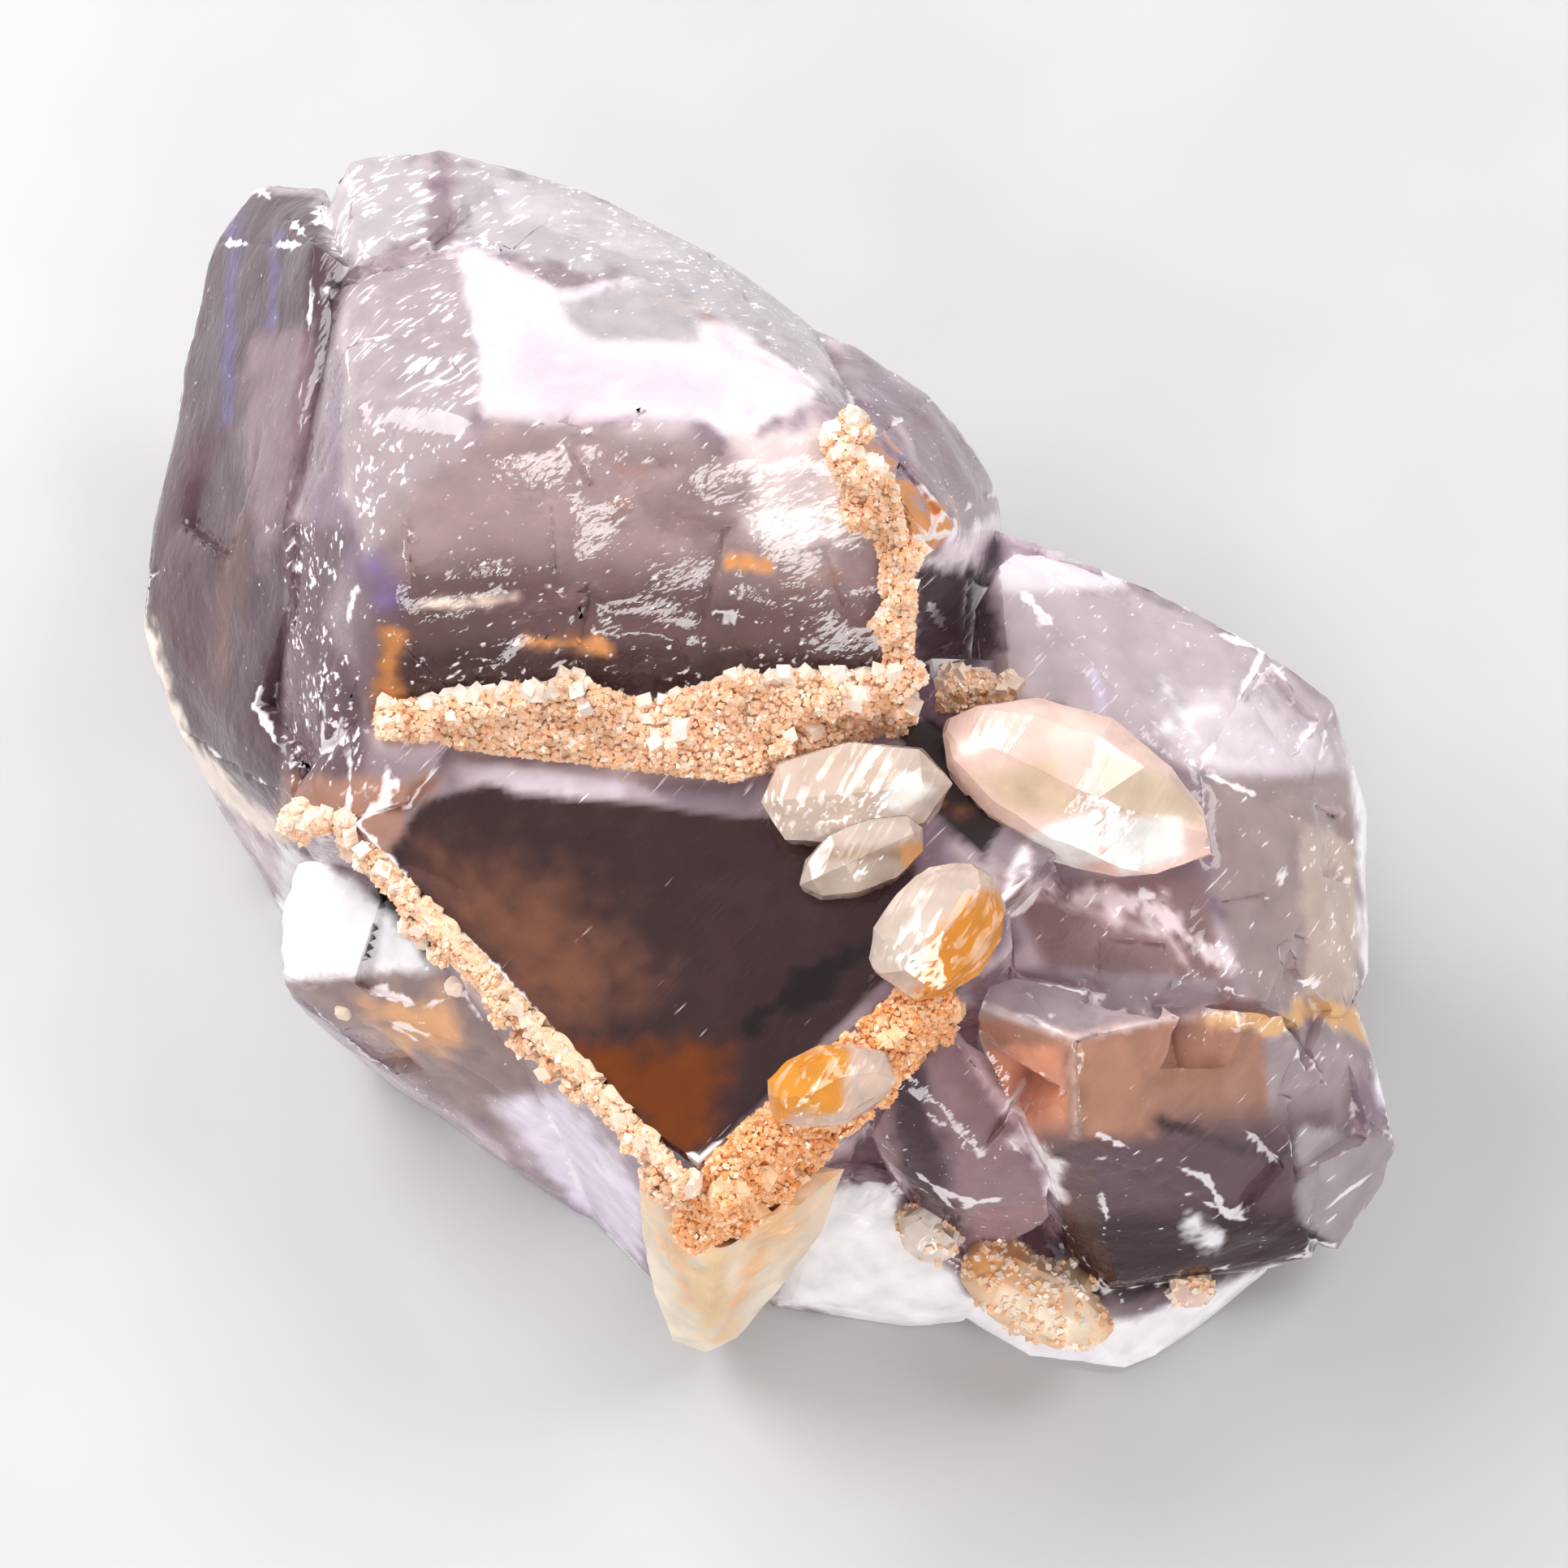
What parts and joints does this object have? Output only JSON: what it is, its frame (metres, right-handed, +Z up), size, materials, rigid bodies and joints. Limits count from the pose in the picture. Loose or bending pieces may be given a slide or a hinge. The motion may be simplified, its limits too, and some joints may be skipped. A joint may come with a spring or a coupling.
{
  "type": "fluorite crystal cluster",
  "caption": "Cluster of intergrown pale lilac fluorite cubes with one dark cube, sugary orange calcite crusts and larger clear calcite crystals, lying on its flat cut.",
  "frame": {"origin": "on the flat rock cut that the cluster rests on, below the middle of its box", "axes": "+Z up from the cut, +X along the longest side, -Y towards the viewer, where the corner of the dark cube points"},
  "size_m": [0.0556, 0.0508, 0.0318],
  "materials": {
    "fluorite": "clear pale lilac, glassy, with brown-purple zones",
    "sugary_calcite": "peach orange, sparkling sugary grains",
    "clear_calcite": "clear to milky pale peach, glassy",
    "orange_calcite": "clear outside with an orange heart"
  },
  "bodies": {
    "root": {"fluorite_cluster": "fluorite", "druse_ledge": "sugary_calcite", "druse_saddle": "sugary_calcite", "druse_left_edge": "sugary_calcite", "druse_lip": "sugary_calcite", "druse_right_edge": "sugary_calcite", "calcite_foot": "clear_calcite", "calcite_large": "clear_calcite", "calcite_striated_pair": "clear_calcite", "calcite_orange_upper": "orange_calcite", "calcite_orange_lower": "orange_calcite", "calcite_bud": "clear_calcite", "calcite_coated": "clear_calcite", "calcite_grain": "clear_calcite"}
  },
  "joints": []
}
